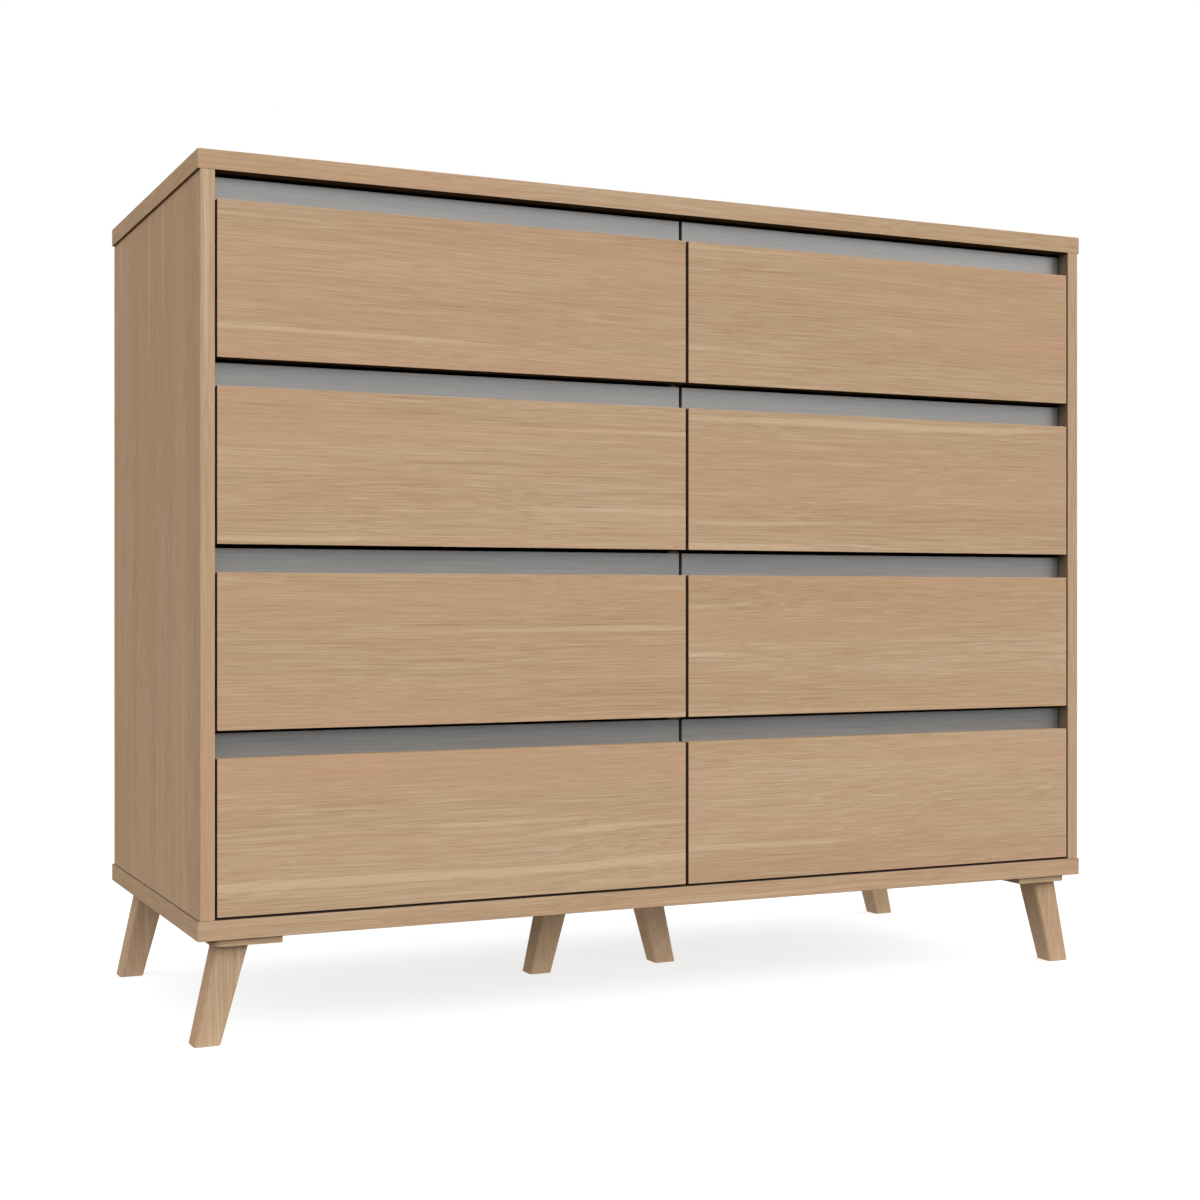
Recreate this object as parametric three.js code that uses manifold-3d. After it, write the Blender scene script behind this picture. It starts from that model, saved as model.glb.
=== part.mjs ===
// A chest of eight drawers in two columns, standing on six splayed wooden legs.
//
// Frame: millimetres, +Z up, +X to the right of someone facing the drawers, fronts towards -Y.
// The origin is on the floor, under the middle of the carcass.

import * as THREE from 'three';
import { mergeVertices } from 'three/addons/utils/BufferGeometryUtils.js';
import Module from 'manifold-3d';

const wasm = await Module();
wasm.setup();

// ---------------------------------------------------------------- driving dimensions

const WIDTH = 1200;
const DEPTH = 500;
const LEG_AND_PLATE = 120;
const OPENING_HEIGHT = 820;

const TOP_BOARD = 22;
const SIDE_BOARD = 16;
const END_OVERHANG = 3;

const ROWS = ['bottom', 'lower', 'upper', 'top'];
const COLUMNS = [{ name: 'left', side: -1 }, { name: 'right', side: 1 }];
const FRONT_BOARD = 18;
const INNER_FRONT_BOARD = 16;
const SIDE_GAP = 2.5;
const CENTRE_GAP = 4;
const BASE_GAP = 3;
const FINGER_GAP = 31;
const GAP_OVER_INNER_FRONT = 4;

const BOX_BOARD = 12;
const BOX_DEPTH = 430;
const BOX_HEIGHT = 150;
const BOX_RAISE = 10;
const RUNNER_SPACE = 13;

const THIN_BOARD = 3;
const GROOVE_CLEARANCE = 0.25;
const CARCASS_GROOVE = 8;
const CARCASS_TONGUE = 7;
const BACK_INSET = 10;
const GROOVE_PAST_SIDE = 9;
const BOX_GROOVE = 6;
const BOX_TONGUE = 5;
const BOX_BOTTOM_RAISE = 12;
const CUT_PAST = 1;

const STRIP_WEB = 2;
const STRIP_WIDTH = 18;
const STRIP_FLANGE = 1;
const STRIP_TO_DIVIDER = 0.25;
const DIVIDER_SETBACK = 2;

const LEG_TOP = 36;
const LEG_FOOT = 30;
const LEG_RADIUS = 4;
const LEG_SPLAY = 28;
const CORNER_LEG_INSET_X = 44;
const CORNER_LEG_INSET_Y = 37;
const CENTRE_LEG_X = 64;
const CENTRE_LEG_Y = 4;
const LEG_CORNER_STEPS = 5;
const PLATE_SIZE = 78;
const PLATE_THICKNESS = 8;
const PLATE_RADIUS = 12;
const PLATE_CORNER_STEPS = 10;
const PLATE_PAST_LEG_X = 26;
const PLATE_PAST_LEG_Y = 32;

// ---------------------------------------------------------------- worked-out levels

const FRONT_Y = -DEPTH / 2;
const REAR_Y = DEPTH / 2;
const BASE_TOP = LEG_AND_PLATE + TOP_BOARD;
const TOP_UNDERSIDE = BASE_TOP + OPENING_HEIGHT;
const SIDE_OUTER = WIDTH / 2 - END_OVERHANG;
const SIDE_INNER = SIDE_OUTER - SIDE_BOARD;

const PITCH = (OPENING_HEIGHT - BASE_GAP) / ROWS.length;
const FRONT_HEIGHT = PITCH - FINGER_GAP;
const INNER_FRONT_HEIGHT = PITCH - GAP_OVER_INNER_FRONT;
const FRONT_OUTER = SIDE_INNER - SIDE_GAP;
const FRONT_INNER = CENTRE_GAP / 2;
const INNER_FRONT_Y = FRONT_Y + FRONT_BOARD;
const BOX_Y = INNER_FRONT_Y + INNER_FRONT_BOARD;
const BOX_REAR_Y = BOX_Y + BOX_DEPTH;
const BOX_OUTER = SIDE_INNER - RUNNER_SPACE;
const BOX_INNER = SIDE_BOARD / 2 + RUNNER_SPACE;

const BACK_REAR_Y = REAR_Y - BACK_INSET;
const BACK_FRONT_Y = BACK_REAR_Y - THIN_BOARD;
const STRIP_FRONT_Y = BACK_FRONT_Y - GROOVE_CLEARANCE - STRIP_FLANGE;

// ---------------------------------------------------------------- materials

const oak = new THREE.MeshStandardMaterial({ color: 0xbb9e80, roughness: 0.55, metalness: 0 });
const greyFoil = new THREE.MeshStandardMaterial({ color: 0x8f8e8c, roughness: 0.4, metalness: 0.3 });
const boxFoil = new THREE.MeshStandardMaterial({ color: 0xc9c4bb, roughness: 0.6, metalness: 0 });
const hardboard = new THREE.MeshStandardMaterial({ color: 0xd8d2c6, roughness: 0.7, metalness: 0 });
const whitePlastic = new THREE.MeshStandardMaterial({ color: 0xe6e4de, roughness: 0.5, metalness: 0 });

// ---------------------------------------------------------------- solids

// A square-cornered board between two opposite corners, given in either order.
function board(x, y, z) {
  const spans = [x, y, z].map(([a, b]) => [Math.min(a, b), Math.max(a, b)]);
  const geometry = new THREE.BoxGeometry(...spans.map(([low, high]) => high - low));
  geometry.translate(...spans.map(([low, high]) => (low + high) / 2));
  return geometry;
}

function toSolid(geometry) {
  const bare = geometry.clone();
  bare.deleteAttribute('normal');
  bare.deleteAttribute('uv');
  const merged = mergeVertices(bare);
  return new wasm.Manifold(new wasm.Mesh({
    numProp: 3,
    vertProperties: new Float32Array(merged.attributes.position.array),
    triVerts: new Uint32Array(merged.index.array),
  }));
}

function toGeometry(solid) {
  const mesh = solid.getMesh();
  const geometry = new THREE.BufferGeometry();
  geometry.setAttribute('position', new THREE.BufferAttribute(mesh.vertProperties, 3));
  geometry.setIndex(new THREE.BufferAttribute(mesh.triVerts, 1));
  return geometry;
}

// The blank with each groove cut out of it.
function grooved(blank, grooves) {
  let solid = toSolid(blank);
  for (const groove of grooves) {
    solid = solid.subtract(toSolid(groove));
  }
  return toGeometry(solid);
}

// Corner points of a rounded square, anticlockwise seen from above.
function roundedSquare(centreX, centreY, side, z) {
  const reach = side / 2 - LEG_RADIUS;
  const points = [];
  for (const [cornerX, cornerY, start] of [[1, 1, 0], [-1, 1, 1], [-1, -1, 2], [1, -1, 3]]) {
    for (let step = 0; step <= LEG_CORNER_STEPS; step += 1) {
      const angle = (start + step / LEG_CORNER_STEPS) * Math.PI / 2;
      const x = centreX + cornerX * reach + LEG_RADIUS * Math.cos(angle);
      const y = centreY + cornerY * reach + LEG_RADIUS * Math.sin(angle);
      points.push([x, y, z]);
    }
  }
  return points;
}

// A closed body between two outlines with the same number of points.
function loft(lower, upper) {
  const count = lower.length;
  const triangles = [];
  for (let i = 0; i < count; i += 1) {
    const next = (i + 1) % count;
    triangles.push(i, next, count + next);
    triangles.push(i, count + next, count + i);
  }
  for (let i = 1; i < count - 1; i += 1) {
    triangles.push(0, i + 1, i);
    triangles.push(count, count + i, count + i + 1);
  }
  const geometry = new THREE.BufferGeometry();
  geometry.setAttribute('position', new THREE.Float32BufferAttribute([...lower, ...upper].flat(), 3));
  geometry.setIndex(triangles);
  return geometry;
}

// ---------------------------------------------------------------- assembly

const dresser = new THREE.Group();

function add(parent, name, geometry, material) {
  geometry.computeVertexNormals();
  const mesh = new THREE.Mesh(geometry, material);
  mesh.name = name;
  parent.add(mesh);
}

// The slot along the rear of a panel that the back leaves stand in.
function backGroove(x, z) {
  return board(x, [BACK_FRONT_Y - GROOVE_CLEARANCE, BACK_REAR_Y + GROOVE_CLEARANCE], z);
}

function buildCarcass() {
  const carcass = new THREE.Group();
  const depth = [FRONT_Y, REAR_Y];
  const opening = [BASE_TOP, TOP_UNDERSIDE];
  const grooveEnd = SIDE_INNER + GROOVE_PAST_SIDE;
  const grooveLength = [-grooveEnd, grooveEnd];

  const topBlank = board([-WIDTH / 2, WIDTH / 2], depth, [TOP_UNDERSIDE, TOP_UNDERSIDE + TOP_BOARD]);
  const topGroove = backGroove(grooveLength, [TOP_UNDERSIDE - CUT_PAST, TOP_UNDERSIDE + CARCASS_GROOVE]);
  add(carcass, 'top_panel', grooved(topBlank, [topGroove]), oak);

  const baseBlank = board([-WIDTH / 2, WIDTH / 2], depth, [LEG_AND_PLATE, BASE_TOP]);
  const baseGroove = backGroove(grooveLength, [BASE_TOP - CARCASS_GROOVE, BASE_TOP + CUT_PAST]);
  add(carcass, 'base_panel', grooved(baseBlank, [baseGroove]), oak);

  for (const { name, side } of COLUMNS) {
    const blank = board([side * SIDE_INNER, side * SIDE_OUTER], depth, opening);
    const grooveX = [side * (SIDE_INNER - CUT_PAST), side * (SIDE_INNER + CARCASS_GROOVE)];
    const groove = backGroove(grooveX, [BASE_TOP - CUT_PAST, TOP_UNDERSIDE + CUT_PAST]);
    add(carcass, `${name}_side_panel`, grooved(blank, [groove]), oak);
  }

  const dividerY = [BOX_Y + DIVIDER_SETBACK, STRIP_FRONT_Y - STRIP_TO_DIVIDER];
  const dividerX = [-SIDE_BOARD / 2, SIDE_BOARD / 2];
  add(carcass, 'centre_divider', board(dividerX, dividerY, opening), oak);

  buildBack(carcass);
  return carcass;
}

// Two thin leaves in the carcass grooves, joined behind the divider by an H-shaped strip.
function buildBack(carcass) {
  const leafY = [BACK_FRONT_Y, BACK_REAR_Y];
  const leafZ = [BASE_TOP - CARCASS_TONGUE, TOP_UNDERSIDE + CARCASS_TONGUE];
  const leafInner = STRIP_WEB / 2 + GROOVE_CLEARANCE;
  for (const { name, side } of COLUMNS) {
    const leafX = [side * leafInner, side * (SIDE_INNER + CARCASS_TONGUE)];
    add(carcass, `${name}_back_leaf`, board(leafX, leafY, leafZ), hardboard);
  }

  const stripRearY = BACK_REAR_Y + GROOVE_CLEARANCE + STRIP_FLANGE;
  const stripZ = [BASE_TOP, TOP_UNDERSIDE];
  const blank = board([-STRIP_WIDTH / 2, STRIP_WIDTH / 2], [STRIP_FRONT_Y, stripRearY], stripZ);
  const channels = COLUMNS.map(({ side }) => backGroove(
    [side * STRIP_WEB / 2, side * (STRIP_WIDTH / 2 + CUT_PAST)],
    [BASE_TOP - CUT_PAST, TOP_UNDERSIDE + CUT_PAST],
  ));
  add(carcass, 'back_joint_strip', grooved(blank, channels), whitePlastic);
}

// One leg and its mounting plate. The leg leans outwards along X, and facing is the Y direction of
// the carcass edge that the plate's rounded corner turns to.
function buildLeg(name, lean, inset, topY, facing) {
  const leg = new THREE.Group();
  leg.position.set(lean * inset, topY, 0);

  const foot = roundedSquare(lean * LEG_SPLAY, 0, LEG_FOOT, 0);
  const head = roundedSquare(0, 0, LEG_TOP, LEG_AND_PLATE - PLATE_THICKNESS);
  add(leg, `${name}_leg`, loft(foot, head), oak);

  const outline = new THREE.Shape();
  outline.moveTo(-PLATE_SIZE, 0);
  outline.lineTo(-PLATE_SIZE, -PLATE_SIZE);
  outline.lineTo(0, -PLATE_SIZE);
  outline.lineTo(0, -PLATE_RADIUS);
  outline.absarc(-PLATE_RADIUS, -PLATE_RADIUS, PLATE_RADIUS, 0, Math.PI / 2, false);
  const turned = new THREE.Shape(outline.getPoints(PLATE_CORNER_STEPS).map((point) => new THREE.Vector2(
    lean * (PLATE_PAST_LEG_X + point.x),
    facing * (PLATE_PAST_LEG_Y + point.y),
  )));
  const plate = new THREE.ExtrudeGeometry(turned, { depth: PLATE_THICKNESS, bevelEnabled: false });
  plate.translate(0, 0, LEG_AND_PLATE - PLATE_THICKNESS);
  add(leg, `${name}_leg_plate`, plate, oak);
  return leg;
}

function buildLegs() {
  const legs = new THREE.Group();
  const cornerX = WIDTH / 2 - CORNER_LEG_INSET_X;
  const cornerY = DEPTH / 2 - CORNER_LEG_INSET_Y;
  for (const { name, side } of COLUMNS) {
    legs.add(buildLeg(`front_${name}`, side, cornerX, -cornerY, -1));
    legs.add(buildLeg(`rear_${name}`, side, cornerX, cornerY, 1));
    legs.add(buildLeg(`centre_${name}`, side, CENTRE_LEG_X, CENTRE_LEG_Y, -1));
  }
  return legs;
}

// The drawer's sides and back, folded from one board into a U that the inner front closes.
function foldedWalls(side, grooveZ) {
  const outline = new THREE.Shape();
  const left = Math.min(side * BOX_INNER, side * BOX_OUTER);
  const right = Math.max(side * BOX_INNER, side * BOX_OUTER);
  outline.moveTo(left, BOX_Y);
  outline.lineTo(left + BOX_BOARD, BOX_Y);
  outline.lineTo(left + BOX_BOARD, BOX_REAR_Y - BOX_BOARD);
  outline.lineTo(right - BOX_BOARD, BOX_REAR_Y - BOX_BOARD);
  outline.lineTo(right - BOX_BOARD, BOX_Y);
  outline.lineTo(right, BOX_Y);
  outline.lineTo(right, BOX_REAR_Y);
  outline.lineTo(left, BOX_REAR_Y);
  const walls = new THREE.ExtrudeGeometry(outline, { depth: BOX_HEIGHT, bevelEnabled: false });
  walls.translate(0, 0, BOX_RAISE);

  const reach = BOX_BOARD - BOX_GROOVE;
  const groove = board([left + reach, right - reach], [BOX_Y - CUT_PAST, BOX_REAR_Y - reach], grooveZ);
  return grooved(walls, [groove]);
}

// The X span of a drawer bottom that goes some way into the walls on both sides.
function bottomSpan(side, reach) {
  return [side * (BOX_INNER + BOX_BOARD - reach), side * (BOX_OUTER - BOX_BOARD + reach)];
}

// One drawer, with its front's lower edge at the group's height.
function buildDrawer(row, column, height) {
  const { name, side } = column;
  const drawer = new THREE.Group();
  drawer.position.z = height;
  const label = `${row}_${name}`;
  const frontX = [side * FRONT_INNER, side * FRONT_OUTER];
  const bottomZ = BOX_RAISE + BOX_BOTTOM_RAISE;
  const grooveZ = [bottomZ - GROOVE_CLEARANCE, bottomZ + THIN_BOARD + GROOVE_CLEARANCE];
  const bottomY = [BOX_Y - BOX_TONGUE, BOX_REAR_Y - BOX_BOARD + BOX_TONGUE];

  add(drawer, `${label}_front`, board(frontX, [FRONT_Y, INNER_FRONT_Y], [0, FRONT_HEIGHT]), oak);

  const innerBlank = board(frontX, [INNER_FRONT_Y, BOX_Y], [0, INNER_FRONT_HEIGHT]);
  const innerGroove = board(bottomSpan(side, BOX_GROOVE), [BOX_Y - BOX_GROOVE, BOX_Y + CUT_PAST], grooveZ);
  add(drawer, `${label}_inner_front`, grooved(innerBlank, [innerGroove]), greyFoil);

  add(drawer, `${label}_drawer_walls`, foldedWalls(side, grooveZ), boxFoil);

  const bottom = board(bottomSpan(side, BOX_TONGUE), bottomY, [bottomZ, bottomZ + THIN_BOARD]);
  add(drawer, `${label}_drawer_bottom`, bottom, hardboard);
  return drawer;
}

dresser.add(buildCarcass());
dresser.add(buildLegs());
ROWS.forEach((row, level) => {
  for (const column of COLUMNS) {
    dresser.add(buildDrawer(row, column, BASE_TOP + BASE_GAP + level * PITCH));
  }
});

export default dresser;
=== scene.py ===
"""Looks for a dresser with eight drawers: surfaces, soft edges, runners, fittings, light and camera.

Everything is in metres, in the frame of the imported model: +Z up, fronts towards -Y.
"""
import math
import random

import bmesh
import bpy
from mathutils import Matrix, Vector


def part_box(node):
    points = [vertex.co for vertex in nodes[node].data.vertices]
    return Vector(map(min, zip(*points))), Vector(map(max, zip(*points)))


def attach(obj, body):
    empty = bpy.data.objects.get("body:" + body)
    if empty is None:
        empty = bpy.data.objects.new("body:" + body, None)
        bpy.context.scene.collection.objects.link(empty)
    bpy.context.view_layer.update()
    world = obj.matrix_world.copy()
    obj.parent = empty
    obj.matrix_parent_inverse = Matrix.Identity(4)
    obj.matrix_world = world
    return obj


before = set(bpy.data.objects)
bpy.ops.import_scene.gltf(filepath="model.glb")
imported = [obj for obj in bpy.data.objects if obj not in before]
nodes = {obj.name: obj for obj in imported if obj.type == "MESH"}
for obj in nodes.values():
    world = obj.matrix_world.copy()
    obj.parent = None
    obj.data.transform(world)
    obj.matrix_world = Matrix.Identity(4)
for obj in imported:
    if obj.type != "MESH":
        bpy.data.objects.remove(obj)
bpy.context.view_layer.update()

ROWS = ("bottom", "lower", "upper", "top")
COLUMNS = (("left", -1), ("right", 1))
ENDS = ("front", "centre", "rear")
X, Y, Z = 0, 1, 2
MM = 0.001
BLACK = (0.0, 0.0, 0.0, 1.0)
WHITE = (1.0, 1.0, 1.0, 1.0)


# ---------------------------------------------------------------- shader helpers


def srgb(red, green, blue):
    """A linear colour from the 0-255 values of a paint chart."""
    return tuple((value / 255) ** 2.2 for value in (red, green, blue)) + (1.0,)


class NodeTree:
    """Short calls that add nodes to a node tree."""

    def __init__(self, tree):
        self.tree = tree
        self.place = tree.nodes.new("ShaderNodeTexCoord")

    def node(self, kind, inputs, **settings):
        """A node with its settings, and its inputs linked or set by number or name."""
        made = self.tree.nodes.new(kind)
        for key, value in settings.items():
            setattr(made, key, value)
        for key, value in inputs.items():
            if isinstance(value, bpy.types.NodeSocket):
                self.tree.links.new(value, made.inputs[key])
            else:
                made.inputs[key].default_value = value
        return made

    def math(self, operation, *values):
        """One step of arithmetic on numbers."""
        return self.node("ShaderNodeMath", dict(enumerate(values)), operation=operation).outputs[0]

    def vector(self, operation, *values):
        """One step of arithmetic on vectors."""
        made = self.node("ShaderNodeVectorMath", dict(enumerate(values)), operation=operation)
        return made.outputs["Value" if operation == "DOT_PRODUCT" else "Vector"]

    def split(self, vector):
        """The three parts of a vector."""
        return self.node("ShaderNodeSeparateXYZ", {0: vector}).outputs

    def join(self, x, y, z):
        """A vector from its three parts."""
        return self.node("ShaderNodeCombineXYZ", {0: x, 1: y, 2: z}).outputs[0]

    def noise(self, vector, scale, detail, roughness=0.5):
        """Noise from 0 to 1, with its own scale along each axis, in features per metre."""
        scaled = self.vector("MULTIPLY", vector, scale)
        inputs = {"Vector": scaled, "Scale": 1.0, "Detail": detail, "Roughness": roughness}
        return self.node("ShaderNodeTexNoise", inputs).outputs[0]

    def spread(self, value, low, high, to_low=0.0, to_high=1.0):
        """value from low to high, clamped and stretched over another range."""
        inputs = {
            "Value": value,
            "From Min": low,
            "From Max": high,
            "To Min": to_low,
            "To Max": to_high,
        }
        return self.node("ShaderNodeMapRange", inputs).outputs[0]

    def sway(self, value, noise, weight):
        """value, moved up and down by a noise around its middle."""
        return self.math("MULTIPLY_ADD", self.math("SUBTRACT", noise, 0.5), weight, value)

    def blend(self, factor, first, second, mode="MIX"):
        """Two colours mixed by a factor."""
        inputs = {0: factor, 6: first, 7: second}
        made = self.node("ShaderNodeMix", inputs, data_type="RGBA", blend_type=mode)
        return made.outputs[2]

    def ramp(self, factor, stops):
        """A colour ramp through (position, colour) stops."""
        made = self.node("ShaderNodeValToRGB", {0: factor})
        elements = made.color_ramp.elements
        while len(elements) < len(stops):
            elements.new(0.5)
        for element, (position, colour) in zip(elements, stops):
            element.position = position
            element.color = colour
        return made.outputs[0]


class Shader(NodeTree):
    """A material with one Principled surface."""

    # A surface faces along an axis if the cosine of the angle between them is over this.
    FACING = 0.7

    def __init__(self, name, roughness=0.5, metallic=0.0, specular=0.5):
        self.material = bpy.data.materials.new(name)
        self.material.use_nodes = True
        super().__init__(self.material.node_tree)
        self.surface = self.tree.nodes["Principled BSDF"]
        self.surface.inputs["Roughness"].default_value = roughness
        self.surface.inputs["Metallic"].default_value = metallic
        self.surface.inputs["Specular IOR Level"].default_value = specular

    def facing(self, axis, sign=0):
        """1 where the surface faces along an axis, either way or only one way, and 0 elsewhere."""
        part = self.split(self.place.outputs["Normal"])[axis]
        towards = self.math("MULTIPLY", part, sign) if sign else self.math("ABSOLUTE", part)
        return self.math("GREATER_THAN", towards, self.FACING)

    def finish(self, colour=None, roughness=None, height=None, depth=0.0):
        """Links what the material has worked out to its surface."""
        if colour is not None:
            self.tree.links.new(colour, self.surface.inputs["Base Color"])
        if roughness is not None:
            self.tree.links.new(roughness, self.surface.inputs["Roughness"])
        if height is not None:
            inputs = {"Height": height, "Distance": depth, "Strength": 1.0}
            bump = self.node("ShaderNodeBump", inputs)
            self.tree.links.new(bump.outputs[0], self.surface.inputs["Normal"])
        return self.material


# ---------------------------------------------------------------- materials

OAK_DARK = srgb(165, 133, 102)
OAK_MID = srgb(188, 158, 128)
OAK_LIGHT = srgb(208, 182, 153)
OAK_PINK = srgb(196, 155, 126)
OAK_GOLD = srgb(187, 157, 118)
OAK_STREAK = srgb(214, 190, 158)
OAK_PORE = srgb(132, 100, 72)
LINE_WANDER = 5 * MM
PATTERN_REACH = 9.0

# Painted shade: tints that darken the faces of the boards that look down, inwards or into a gap, where
# shade falls.
UNDERSIDE_PAINTED_SHADE = srgb(124, 130, 132)
INSIDE_PAINTED_SHADE = srgb(181, 189, 203)
FRONT_END_PAINTED_SHADE = srgb(150, 142, 130)

HARDBOARD_WHITE = [(0.3, srgb(213, 209, 201)), (0.7, srgb(225, 222, 215))]
HARDBOARD_BROWN = [
    (0.3, srgb(132, 101, 70)),
    (0.5, srgb(162, 129, 94)),
    (0.75, srgb(184, 154, 119)),
]
LINEN_PERIOD = 1.6 * MM

# The floor fades to pure white between these distances from the middle.
FLOOR_FADE_START = 1.2
FLOOR_FADE_END = 6.0
FLOOR_GLOW = 0.75


def grain_space(shader, grain, banding, name):
    """Coordinates whose first axis runs along the grain.

    The faces across the grain carry edge banding, whose grain runs along another axis. Each board
    starts at its own place in the pattern.
    """
    part = shader.split(shader.place.outputs["Object"])
    across = [axis for axis in (X, Y, Z) if axis != grain]
    board = shader.join(part[grain], part[across[0]], part[across[1]])
    rest = [axis for axis in (X, Y, Z) if axis != banding]
    band = shader.join(part[banding], part[rest[0]], part[rest[1]])
    ends = shader.facing(grain)
    placed = shader.node("ShaderNodeMix", {0: ends, 4: board, 5: band}, data_type="VECTOR").outputs[1]
    draw = random.Random(name)
    start = tuple(draw.uniform(0.0, PATTERN_REACH) for _ in range(3))
    return shader.vector("ADD", placed, start)


def oak(name, grain, banding, painted_shade=(), within=None):
    """Light oak: wandering growth lines, fine fibres, broad tones, pale streaks and dark pores.

    Each row of the painted shade list gives an axis, a direction along it and the tint of the painted
    shade on the faces that look that way.
    within keeps that painted shade to what is nearer than that, sideways, to the middle of the dresser.
    """
    shader = Shader(f"oak_{name}", specular=0.0)
    place = grain_space(shader, grain, banding, name)

    wander = shader.noise(place, (1.8, 9.0, 9.0), detail=1.0)
    shift = shader.spread(wander, 0.3, 0.7, -LINE_WANDER, LINE_WANDER)
    bent = shader.vector("ADD", place, shader.join(0.0, shift, shift))

    lines = shader.noise(bent, (3.5, 520.0, 520.0), detail=1.0)
    bands = shader.noise(bent, (1.6, 120.0, 120.0), detail=1.0)
    fibres = shader.noise(bent, (12.0, 1200.0, 1200.0), detail=2.0)
    tone = shader.noise(place, (0.9, 13.0, 13.0), detail=1.0)
    value = 0.5
    for noise, weight in ((lines, 0.34), (bands, 0.12), (fibres, 0.75), (tone, 0.33)):
        value = shader.sway(value, noise, weight)
    colour = shader.ramp(value, [(0.2, OAK_DARK), (0.5, OAK_MID), (0.82, OAK_LIGHT)])

    warm = shader.noise(place, (1.3, 17.0, 17.0), detail=1.0)
    golden = shader.noise(place, (2.1, 26.0, 26.0), detail=1.0)
    streaks = shader.noise(bent, (0.7, 85.0, 85.0), detail=0.0)
    pores = shader.noise(bent, (40.0, 1500.0, 1500.0), detail=0.0)
    for noise, low, high, strength, tint in (
        (warm, 0.48, 0.72, 0.5, OAK_PINK),
        (golden, 0.48, 0.75, 0.35, OAK_GOLD),
        (streaks, 0.72, 0.79, 0.4, OAK_STREAK),
        (pores, 0.66, 0.76, 0.2, OAK_PORE),
    ):
        colour = shader.blend(shader.spread(noise, low, high, 0.0, strength), colour, tint)

    # Painted shade: darkens the chosen faces, which look down, inwards or into a gap.
    for axis, sign, tint in painted_shade:
        faces = shader.facing(axis, sign)
        if within:
            sideways = shader.math("ABSOLUTE", shader.split(shader.place.outputs["Object"])[X])
            faces = shader.math("MULTIPLY", faces, shader.math("LESS_THAN", sideways, within))
        colour = shader.blend(faces, colour, tint, "MULTIPLY")
    roughness = shader.spread(fibres, 0.3, 0.7, 0.44, 0.58)
    relief = shader.math("MULTIPLY_ADD", shader.spread(pores, 0.64, 0.74), -0.8, fibres)
    return shader.finish(colour, roughness, relief, depth=0.06 * MM)


def grey_foil():
    """A brushed-metal look: fine level strokes in a mid grey."""
    shader = Shader("grey_foil", metallic=0.45)
    place = shader.place.outputs["Object"]
    strokes = shader.noise(place, (9.0, 900.0, 1300.0), detail=3.0, roughness=0.65)
    patches = shader.noise(place, (3.0, 8.0, 30.0), detail=1.0)
    value = shader.sway(strokes, patches, 0.3)
    colour = shader.ramp(value, [(0.25, srgb(114, 113, 112)), (0.75, srgb(140, 139, 137))])
    roughness = shader.spread(strokes, 0.3, 0.7, 0.3, 0.42)
    return shader.finish(colour, roughness, strokes, depth=0.03 * MM)


def weave(shader, place, period):
    """A fine linen pattern on the faces of an upright or level board."""
    part = shader.split(place)
    waves = []
    for axis in (X, Y, Z):
        angle = shader.math("MULTIPLY", part[axis], 2 * math.pi / period)
        waves.append(shader.math("SINE", angle))
    front = shader.math("MULTIPLY", waves[X], waves[Z])
    side = shader.math("MULTIPLY", waves[Y], waves[Z])
    level = shader.math("MULTIPLY", waves[X], waves[Y])
    total = shader.math("ADD", shader.math("ADD", front, side), level)
    return shader.spread(total, -1.2, 1.2)


def box_foil():
    """Pale linen foil round the drawer's folded walls."""
    shader = Shader("box_foil", specular=0.3)
    place = shader.place.outputs["Object"]
    linen = weave(shader, place, LINEN_PERIOD)
    mottle = shader.noise(place, (60.0, 60.0, 60.0), detail=3.0)
    value = shader.sway(linen, mottle, 0.8)
    colour = shader.ramp(value, [(0.1, srgb(186, 181, 172)), (0.9, srgb(206, 202, 194))])
    roughness = shader.spread(mottle, 0.3, 0.7, 0.52, 0.68)
    return shader.finish(colour, roughness, linen, depth=0.05 * MM)


def hardboard(name, raw_axis, raw_sign):
    """Thin board with a white printed face, and raw brown fibres on the face that doesn't show."""
    shader = Shader(f"hardboard_{name}", specular=0.3)
    place = shader.place.outputs["Object"]
    flecks = shader.noise(place, (420.0, 420.0, 420.0), detail=4.0, roughness=0.7)
    clouds = shader.noise(place, (14.0, 14.0, 14.0), detail=3.0)
    white = shader.ramp(clouds, HARDBOARD_WHITE)
    brown = shader.ramp(shader.sway(flecks, clouds, 0.15), HARDBOARD_BROWN)
    colour = shader.blend(shader.facing(raw_axis, raw_sign), white, brown)
    roughness = shader.spread(flecks, 0.3, 0.7, 0.5, 0.75)
    return shader.finish(colour, roughness, flecks, depth=0.05 * MM)


def plastic(name, dark, light):
    """Moulded plastic with a fine grained skin."""
    shader = Shader(name)
    place = shader.place.outputs["Object"]
    skin = shader.noise(place, (1500.0, 1500.0, 1500.0), detail=2.0)
    cloud = shader.noise(place, (25.0, 25.0, 25.0), detail=2.0)
    colour = shader.ramp(cloud, [(0.3, dark), (0.7, light)])
    roughness = shader.spread(skin, 0.3, 0.7, 0.42, 0.58)
    return shader.finish(colour, roughness, skin, depth=0.03 * MM)


def zinc(name, stretch):
    """Zinc-plated steel, drawn along Y where it is stretched, with faint rub marks."""
    shader = Shader(name, metallic=1.0)
    place = shader.place.outputs["Object"]
    drawn = shader.noise(place, (1400.0, 1400.0 / stretch, 1400.0), detail=3.0)
    cloud = shader.noise(place, (45.0, 45.0, 45.0), detail=3.0)
    value = shader.sway(cloud, drawn, 0.6)
    colour = shader.ramp(value, [(0.25, srgb(176, 179, 183)), (0.75, srgb(214, 216, 218))])
    roughness = shader.spread(value, 0.3, 0.7, 0.26, 0.46)
    return shader.finish(colour, roughness, drawn, depth=0.005 * MM)


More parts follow.
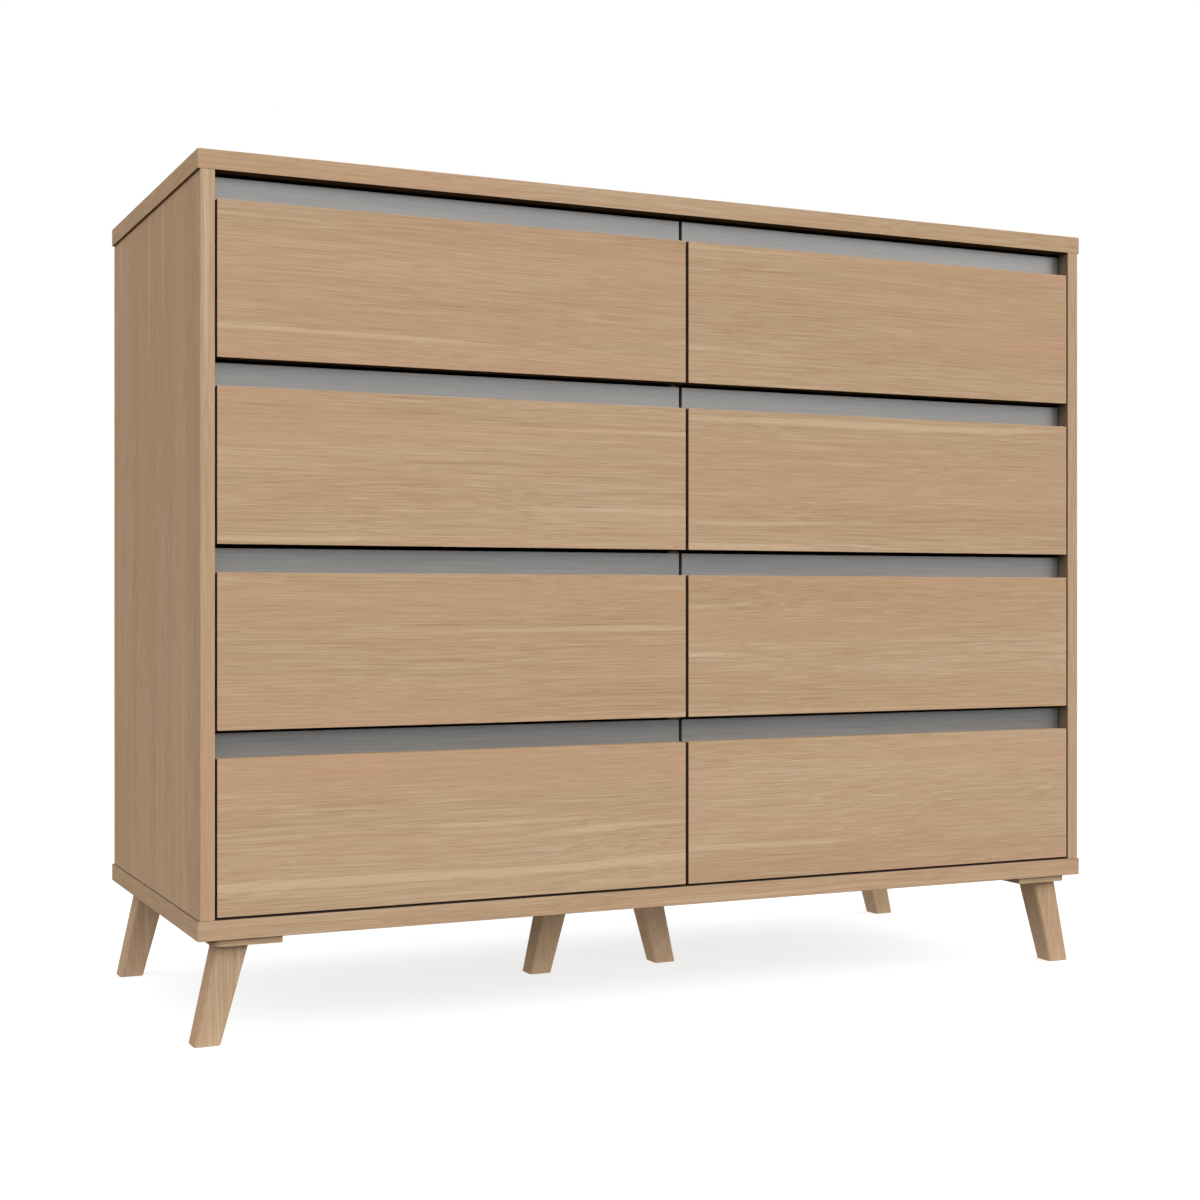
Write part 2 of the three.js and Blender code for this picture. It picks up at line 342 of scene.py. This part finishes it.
def studio_floor():
    """A pale matt floor that glows a little. Far from the middle it only glows, in pure white."""
    shader = Shader("studio_floor", roughness=0.8, specular=0.0)
    place = shader.place.outputs["Object"]
    mottle = shader.noise(place, (3.0, 3.0, 3.0), detail=4.0)
    colour = shader.ramp(mottle, [(0.3, srgb(170, 170, 170)), (0.7, srgb(174, 174, 174))])
    reach = shader.vector("DOT_PRODUCT", place, place)
    far = shader.spread(reach, FLOOR_FADE_START ** 2, FLOOR_FADE_END ** 2)
    colour = shader.blend(far, colour, BLACK)
    shader.surface.inputs["Emission Color"].default_value = WHITE
    glow = shader.spread(far, 0.0, 1.0, FLOOR_GLOW, 1.0)
    shader.tree.links.new(glow, shader.surface.inputs["Emission Strength"])
    return shader.finish(colour)


GREY_FOIL = grey_foil()
BOX_FOIL = box_foil()
BACK_BOARD = hardboard("back", Y, 1)
BOTTOM_BOARD = hardboard("bottom", Z, -1)
STRIP_PLASTIC = plastic("strip_plastic", srgb(222, 220, 214), srgb(232, 230, 225))
CAP_PLASTIC = plastic("cap_plastic", srgb(178, 172, 161), srgb(192, 187, 177))
RUNNER_ZINC = zinc("runner_zinc", 40.0)
SCREW_ZINC = zinc("screw_zinc", 1.0)


# ---------------------------------------------------------------- finish of the CAD nodes

WELD_DISTANCE = 0.01 * MM
EDGE_SEGMENTS = 3
EDGE_ANGLE = math.radians(40)
FLAT_FACE_WEIGHT = 100
BOARD_EDGE = 0.6 * MM
THIN_EDGE = 0.2 * MM
FOIL_EDGE = 0.4 * MM
FOLD_EDGE = 0.8 * MM
LEG_EDGE = 1.2 * MM
PLATE_EDGE = 1.0 * MM


def dress(name, material, edge=BOARD_EDGE):
    """Gives a CAD node its material, and softens its edges with modifiers."""
    node = nodes[name]
    node.data.materials.clear()
    node.data.materials.append(material)
    node.data.shade_smooth()
    weld = node.modifiers.new("weld", "WELD")
    weld.merge_threshold = WELD_DISTANCE
    bevel = node.modifiers.new("soft_edge", "BEVEL")
    bevel.width = edge
    bevel.segments = EDGE_SEGMENTS
    bevel.limit_method = "ANGLE"
    bevel.angle_limit = EDGE_ANGLE
    normals = node.modifiers.new("flat_faces", "WEIGHTED_NORMAL")
    normals.weight = FLAT_FACE_WEIGHT


def dress_carcass():
    """The panels, with painted shade on the faces that look inwards or down, then the back and the legs
    with their plates.
    """
    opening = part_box("right_side_panel")[0].x
    # Painted shade on the underside of the top, over the opening only, and on the underside and inner
    # face of the base.
    underside = (Z, -1, UNDERSIDE_PAINTED_SHADE)
    dress("top_panel", oak("top_panel", grain=X, banding=Y, painted_shade=[underside], within=opening))
    dress("base_panel", oak("base_panel", grain=X, banding=Y, painted_shade=[underside, (Z, 1, INSIDE_PAINTED_SHADE)]))
    for side, sign in COLUMNS:
        panel = f"{side}_side_panel"
        dress(panel, oak(panel, grain=Z, banding=Y, painted_shade=[(X, -sign, INSIDE_PAINTED_SHADE)]))
        dress(f"{side}_back_leaf", BACK_BOARD, edge=THIN_EDGE)
    divider = "centre_divider"
    # Painted shade on both faces of the divider.
    painted_shade_both_faces = [(X, 1, INSIDE_PAINTED_SHADE), (X, -1, INSIDE_PAINTED_SHADE)]
    dress(divider, oak(divider, grain=Z, banding=Y, painted_shade=painted_shade_both_faces))
    dress("back_joint_strip", STRIP_PLASTIC, edge=THIN_EDGE)
    for end in ENDS:
        for side, _ in COLUMNS:
            leg = f"{end}_{side}_leg"
            plate = f"{leg}_plate"
            dress(leg, oak(leg, grain=Z, banding=X), edge=LEG_EDGE)
            dress(plate, oak(plate, grain=X, banding=Y), edge=PLATE_EDGE)


def dress_drawer(label):
    """The wood front, with painted shade on its ends and underside, then the grey front and the box."""
    front = f"{label}_front"
    # Painted shade on the ends of the wood front, in the gaps, and on its underside.
    painted_shade = [(X, 1, FRONT_END_PAINTED_SHADE), (X, -1, FRONT_END_PAINTED_SHADE), (Z, -1, UNDERSIDE_PAINTED_SHADE)]
    dress(front, oak(front, grain=X, banding=Z, painted_shade=painted_shade))
    dress(f"{label}_inner_front", GREY_FOIL, edge=FOIL_EDGE)
    dress(f"{label}_drawer_walls", BOX_FOIL, edge=FOLD_EDGE)
    dress(f"{label}_drawer_bottom", BOTTOM_BOARD, edge=THIN_EDGE)


# ---------------------------------------------------------------- mesh helpers

SHARP_ANGLE = math.radians(35)
ARC_STEPS = 4
ROUND_SEGMENTS = 32

# The rings of a screw head, as shares of its radius, and its cross, as shares of the radius and height.
HEAD_RINGS = (0.1, 0.2, 0.34, 0.48, 0.6, 0.66, 0.8, 0.92, 1.0)
CROSS_HALF_WIDTH = 0.13
CROSS_REACH = 0.62
CROSS_DEPTH = 0.7

# The profile of a cap from its rim to its middle, as shares of its radius and height.
CAP_PROFILE = (
    (1.0, 0.0),
    (1.0, 0.45),
    (0.95, 0.75),
    (0.86, 0.92),
    (0.6, 1.0),
    (0.56, 0.8),
    (0.2, 0.84),
)
CAP_RADIUS = 8.5 * MM
CAP_HEIGHT = 1.0 * MM


def add_piece(name, mesh_parts, material, body):
    """Makes a piece from a bmesh, and lets it ride on a body."""
    mesh = bpy.data.meshes.new(name)
    bmesh.ops.recalc_face_normals(mesh_parts, faces=mesh_parts.faces)
    mesh_parts.to_mesh(mesh)
    mesh_parts.free()
    mesh.shade_smooth()
    mesh.set_sharp_from_angle(angle=SHARP_ANGLE)
    mesh.materials.append(material)
    piece = bpy.data.objects.new(name, mesh)
    bpy.context.scene.collection.objects.link(piece)
    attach(piece, body)


def rounded_path(corners, radius):
    """The points of an open path whose inner corners are arcs."""
    path = [Vector(corners[0])]
    for before, corner, after in zip(corners, corners[1:], corners[2:]):
        corner = Vector(corner)
        back = (Vector(before) - corner).normalized()
        ahead = (Vector(after) - corner).normalized()
        half = back.angle(ahead) / 2
        centre = corner + (back + ahead).normalized() * radius / math.sin(half)
        start = (corner + back * radius / math.tan(half) - centre).normalized()
        end = (corner + ahead * radius / math.tan(half) - centre).normalized()
        for step in range(ARC_STEPS + 1):
            path.append(centre + start.slerp(end, step / ARC_STEPS) * radius)
    path.append(Vector(corners[-1]))
    return path


def join_rings(target, rings):
    """Adds the faces between rings of points, one after another, and closes both ends."""
    for first, second in zip(rings, rings[1:]):
        for index in range(len(first)):
            around = (index + 1) % len(first)
            target.faces.new((first[index], first[around], second[around], second[index]))
    target.faces.new(rings[0])
    target.faces.new(rings[-1])


def bent_sheet(target, path, thickness, start, end, place):
    """Adds a sheet that follows a path in section and is drawn from start to end."""
    sections = []
    for index, point in enumerate(path):
        before = path[max(index - 1, 0)]
        after = path[min(index + 1, len(path) - 1)]
        along = (after - before).normalized()
        aside = Vector((-along.y, along.x)) * thickness / 2
        sections.append([
            target.verts.new(place(point + aside, start)),
            target.verts.new(place(point - aside, start)),
            target.verts.new(place(point - aside, end)),
            target.verts.new(place(point + aside, end)),
        ])
    join_rings(target, sections)


def circle(radius, height):
    """The points of a level ring round the Z axis."""
    points = []
    for segment in range(ROUND_SEGMENTS):
        angle = 2 * math.pi * segment / ROUND_SEGMENTS
        points.append(Vector((radius * math.cos(angle), radius * math.sin(angle), height)))
    return points


def stand(target, rings, centre, outward):
    """Adds a closed body made of rings, with its foot at centre and its Z axis turned outward."""
    turn = Vector(outward).to_track_quat("Z", "Y").to_matrix().to_4x4()
    place = Matrix.Translation(centre) @ turn
    join_rings(target, [[target.verts.new(place @ point) for point in ring] for ring in rings])


def cross_headed(target, centre, outward, head):
    """Adds a screw head with a cross recess. head is its radius and height."""
    radius, height = head
    rings = []
    for share in HEAD_RINGS:
        ring = circle(radius * share, height * math.sqrt(1.0 - share ** 3))
        for point in ring:
            near, far = sorted((abs(point.x), abs(point.y)))
            if near < CROSS_HALF_WIDTH * radius and far < CROSS_REACH * radius:
                point.z -= CROSS_DEPTH * height
        rings.append(ring)
    stand(target, rings, centre, outward)


def domed_cap(target, centre, outward):
    """Adds a shallow round cap with a rounded rim and a dished middle."""
    rings = [circle(CAP_RADIUS * across, CAP_HEIGHT * up) for across, up in CAP_PROFILE]
    stand(target, rings, centre, outward)


# ---------------------------------------------------------------- drawer runners

RUNNER_LENGTH = 400 * MM
SHEET = 1.1 * MM
BEND = 1.2 * MM
CAGE_SHEET = 0.8 * MM
BALLS = 8
BALL_RADIUS = 2.3 * MM
BALL_PITCH = 11 * MM
RUNNER_HEIGHT = 75 * MM
MEMBER_SETBACK = 4 * MM
DRAWER_MEMBER_LEAD = 2 * MM

# Places along a runner, from the front end of its cabinet member.
CAGE_START = 1 * MM
CAGE_END = 91 * MM
FIRST_BALL = 7 * MM
RUNNER_SCREW_PLACES = (37 * MM, 165 * MM, 357 * MM)

# Screw heads, as (radius, height).
CABINET_SCREW = (3.4 * MM, 0.3 * MM)
DRAWER_SCREW = (3.6 * MM, 1.8 * MM)

# Half sections, as (distance from the carcass wall, height over the middle), upper half only.
CABINET_HALF = [(10.0 * MM, 13.7 * MM), (10.0 * MM, 16.9 * MM), (0.6 * MM, 16.9 * MM)]
DRAWER_HALF = [(4.7 * MM, 8.6 * MM), (4.7 * MM, 11.0 * MM), (12.3 * MM, 11.0 * MM)]
CAGE_HALF = [(9.2 * MM, 13.95 * MM), (2.3 * MM, 13.95 * MM)]
BALL_PLACE = (7.0 * MM, 13.95 * MM)
CABINET_WEB = CABINET_HALF[-1][0] + SHEET / 2
DRAWER_WEB = DRAWER_HALF[-1][0] - SHEET / 2


def whole_section(half):
    """A section from its upper half, mirrored downwards."""
    return half + [(reach, -height) for reach, height in reversed(half)]


def add_runner(label, hand, wall, inward, middle):
    """One runner, on the carcass face whose X is wall. inward leads from it to the drawer."""
    body = f"{label}_drawer"
    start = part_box(f"{label}_drawer_walls")[0].y + MEMBER_SETBACK

    def place(spot, along):
        return Vector((wall + inward * spot[0], along, middle + spot[1]))

    for kind, half, member_start, rides_on in (
        ("cabinet", CABINET_HALF, start, "carcass"),
        ("drawer", DRAWER_HALF, start - DRAWER_MEMBER_LEAD, body),
    ):
        member = bmesh.new()
        path = rounded_path(whole_section(half), BEND)
        bent_sheet(member, path, SHEET, member_start, member_start + RUNNER_LENGTH, place)
        add_piece(f"{label}_{hand}_{kind}_member", member, RUNNER_ZINC, rides_on)

    for kind, web, outward, head, rides_on in (
        ("cabinet", CABINET_WEB, inward, CABINET_SCREW, "carcass"),
        ("drawer", DRAWER_WEB, -inward, DRAWER_SCREW, body),
    ):
        screws = bmesh.new()
        for along in RUNNER_SCREW_PLACES:
            cross_headed(screws, place((web, 0.0), start + along), (outward, 0, 0), head)
        add_piece(f"{label}_{hand}_{kind}_screws", screws, SCREW_ZINC, rides_on)

    cage = bmesh.new()
    path = rounded_path(whole_section(CAGE_HALF), BEND)
    bent_sheet(cage, path, CAGE_SHEET, start + CAGE_START, start + CAGE_END, place)
    reach, height = BALL_PLACE
    for ball in range(BALLS):
        for up in (1, -1):
            spot = place((reach, up * height), start + FIRST_BALL + ball * BALL_PITCH)
            centre = Matrix.Translation(spot)
            bmesh.ops.create_icosphere(cage, subdivisions=2, radius=BALL_RADIUS, matrix=centre)
    add_piece(f"{label}_{hand}_ball_cage", cage, RUNNER_ZINC, "carcass")


def add_runners(label, side):
    """Both runners of a drawer: one on the side panel and one on the divider."""
    low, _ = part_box(f"{label}_drawer_walls")
    middle = low.z + RUNNER_HEIGHT
    inner_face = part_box("right_side_panel")[0].x
    divider_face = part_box("centre_divider")[1].x
    add_runner(label, "outer", side * inner_face, -side, middle)
    add_runner(label, "inner", side * divider_face, side, middle)


# ---------------------------------------------------------------- fittings

WALL_BOARD = 12 * MM
WALL_CAP_SETBACK = 30 * MM
WALL_CAP_HEIGHTS = (42 * MM, 122 * MM)
SIDE_CAP_DROP = 34 * MM
SIDE_CAP_PLACES = (-150 * MM, 40 * MM, 200 * MM)
LEG_HEAD = 36 * MM
PLATE_SCREW_INSET = 10 * MM

# Screw heads, as (radius, height), and where they are.
FRONT_SCREW = (4.0 * MM, 2.0 * MM)
FRONT_SCREW_SHARES = (0.16, 0.84)
FRONT_SCREW_HEIGHTS = (55 * MM, 125 * MM)
PLATE_SCREW = (3.6 * MM, 0.5 * MM)
BASE_SCREW = (3.6 * MM, 0.3 * MM)
BASE_SCREW_PLACES = (-180 * MM, 120 * MM, 200 * MM)


def add_drawer_fittings(label):
    """Caps over the cam fittings in the walls, and the screws that hold the wood front."""
    body = f"{label}_drawer"
    low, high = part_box(f"{label}_drawer_walls")
    caps = bmesh.new()
    for face, outward in ((low.x + WALL_BOARD, 1), (high.x - WALL_BOARD, -1)):
        for up in WALL_CAP_HEIGHTS:
            spot = Vector((face, low.y + WALL_CAP_SETBACK, low.z + up))
            domed_cap(caps, spot, (outward, 0, 0))
    add_piece(f"{label}_cam_caps", caps, CAP_PLASTIC, body)

    screws = bmesh.new()
    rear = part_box(f"{label}_inner_front")[1].y
    for along in FRONT_SCREW_SHARES:
        for up in FRONT_SCREW_HEIGHTS:
            spot = Vector((low.x + along * (high.x - low.x), rear, low.z + up))
            cross_headed(screws, spot, (0, 1, 0), FRONT_SCREW)
    add_piece(f"{label}_front_screws", screws, SCREW_ZINC, body)


def add_leg_screws(leg, side):
    """Screws near the corners of a leg's plate, except where the head of the leg covers them."""
    low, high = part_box(f"{leg}_plate")
    leg_low, leg_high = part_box(leg)
    head_x = leg_low.x + LEG_HEAD / 2 if side > 0 else leg_high.x - LEG_HEAD / 2
    head_y = (leg_low.y + leg_high.y) / 2
    clear = LEG_HEAD / 2 + PLATE_SCREW[0]
    screws = bmesh.new()
    for x in (low.x + PLATE_SCREW_INSET, high.x - PLATE_SCREW_INSET):
        for y in (low.y + PLATE_SCREW_INSET, high.y - PLATE_SCREW_INSET):
            if max(abs(x - head_x), abs(y - head_y)) > clear:
                cross_headed(screws, Vector((x, y, low.z)), (0, 0, -1), PLATE_SCREW)
    add_piece(f"{leg}_screws", screws, SCREW_ZINC, "carcass")


def add_base_screws():
    """Screws driven up through the base into the sides and the divider."""
    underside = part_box("base_panel")[0].z
    side_low, side_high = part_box("right_side_panel")
    side_middle = (side_low.x + side_high.x) / 2
    screws = bmesh.new()
    for x in (-side_middle, 0.0, side_middle):
        for y in BASE_SCREW_PLACES:
            cross_headed(screws, Vector((x, y, underside)), (0, 0, -1), BASE_SCREW)
    add_piece("base_screws", screws, SCREW_ZINC, "carcass")


def add_carcass_caps():
    """Caps over the cam fittings that pull the top down on the sides."""
    caps = bmesh.new()
    low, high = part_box("right_side_panel")
    for side in (-1, 1):
        for y in SIDE_CAP_PLACES:
            domed_cap(caps, Vector((side * low.x, y, high.z - SIDE_CAP_DROP)), (-side, 0, 0))
    add_piece("side_cam_caps", caps, CAP_PLASTIC, "carcass")


# ---------------------------------------------------------------- studio

FLOOR_RADIUS = 14.0
BACKDROP_WHITE = 1.0

# The sky shines from all round, and more from two sides, whose directions point at the light.
ROUND_LIGHT = 1.04
KEY_LIGHT = 2.62
KEY_DIRECTION = (0.819, -0.574, 0.0)
FILL_LIGHT = 1.0
FILL_DIRECTION = (-0.966, -0.259, 0.0)

# How much of that light comes from each height, as (sine of the angle over the horizon, share).
LIGHT_BY_HEIGHT = [(0.0, 0.0), (0.03, 0.6), (0.2, 0.8), (0.35, 1.0), (0.6, 0.8), (1.0, 0.4)]

# The lamp that stands for the light thrown back by the floor lies just under it.
BOUNCE_LIGHT = 0.5
BOUNCE_SIZE = (1.2, 0.5)
BOUNCE_DROP = 5 * MM

# The lens and the sensor are in millimetres.
CAMERA_PLACE = (-1.0626, -2.2777, 0.4922)
CAMERA_TURN = math.radians(-24.989)
LEVEL_VIEW = math.radians(90.0)
LENS = 56.13
SENSOR = 36.0


def add_stage_piece(name, mesh_parts, material):
    """Makes a piece of the studio from a bmesh. Only the camera sees it, and no light meets it."""
    mesh = bpy.data.meshes.new(name)
    mesh_parts.to_mesh(mesh)
    mesh_parts.free()
    mesh.materials.append(material)
    piece = bpy.data.objects.new(name, mesh)
    for ray in ("diffuse", "glossy", "transmission", "volume_scatter", "shadow"):
        setattr(piece, f"visible_{ray}", False)
    bpy.context.scene.collection.objects.link(piece)


def add_stage():
    """A pale round floor, and a white dome round everything."""
    disc = bmesh.new()
    bmesh.ops.create_circle(disc, cap_ends=True, segments=96, radius=FLOOR_RADIUS)
    add_stage_piece("studio_floor", disc, studio_floor())

    white = Shader("studio_white", roughness=1.0, specular=0.0)
    white.surface.inputs["Base Color"].default_value = BLACK
    white.surface.inputs["Emission Color"].default_value = WHITE
    white.surface.inputs["Emission Strength"].default_value = BACKDROP_WHITE
    dome = bmesh.new()
    bmesh.ops.create_uvsphere(dome, u_segments=48, v_segments=24, radius=FLOOR_RADIUS)
    add_stage_piece("studio_backdrop", dome, white.finish())


def add_light():
    """A soft sky, brightest at the front right, and the light that the floor throws back."""
    world = bpy.data.worlds.new("studio")
    bpy.context.scene.world = world
    world.use_nodes = True
    sky = NodeTree(world.node_tree)
    direction = sky.place.outputs["Generated"]
    glow = ROUND_LIGHT
    for towards, strength in ((KEY_DIRECTION, KEY_LIGHT), (FILL_DIRECTION, FILL_LIGHT)):
        turned = sky.vector("DOT_PRODUCT", direction, towards)
        glow = sky.math("MULTIPLY_ADD", sky.math("MAXIMUM", turned, 0.0), strength, glow)
    height = sky.split(direction)[Z]
    share = sky.ramp(height, [(sine, (level, level, level, 1.0)) for sine, level in LIGHT_BY_HEIGHT])
    background = world.node_tree.nodes["Background"]
    background.inputs["Color"].default_value = WHITE
    world.node_tree.links.new(sky.math("MULTIPLY", share, glow), background.inputs["Strength"])

    bounce = bpy.data.lights.new("floor_bounce", "AREA")
    bounce.shape = "RECTANGLE"
    bounce.size, bounce.size_y = BOUNCE_SIZE
    bounce.energy = BOUNCE_LIGHT * math.pi * bounce.size * bounce.size_y
    lamp = bpy.data.objects.new("floor_bounce", bounce)
    lamp.location = (0.0, 0.0, -BOUNCE_DROP)
    lamp.rotation_euler = (math.pi, 0.0, 0.0)
    lamp.visible_camera = False
    bpy.context.scene.collection.objects.link(lamp)


def add_camera():
    """A level camera at sitting height, to the left of the front."""
    lens = bpy.data.cameras.new("camera")
    lens.sensor_width = SENSOR
    lens.lens = LENS
    camera = bpy.data.objects.new("camera", lens)
    camera.location = CAMERA_PLACE
    camera.rotation_euler = (LEVEL_VIEW, 0.0, CAMERA_TURN)
    bpy.context.scene.collection.objects.link(camera)
    bpy.context.scene.camera = camera
    bpy.context.scene.view_settings.view_transform = "Standard"


# ---------------------------------------------------------------- everything together

dress_carcass()
for end in ENDS:
    for side_name, side in COLUMNS:
        add_leg_screws(f"{end}_{side_name}_leg", side)
add_base_screws()
add_carcass_caps()
for row in ROWS:
    for column, side in COLUMNS:
        label = f"{row}_{column}"
        dress_drawer(label)
        add_runners(label, side)
        add_drawer_fittings(label)

add_stage()
add_light()
add_camera()
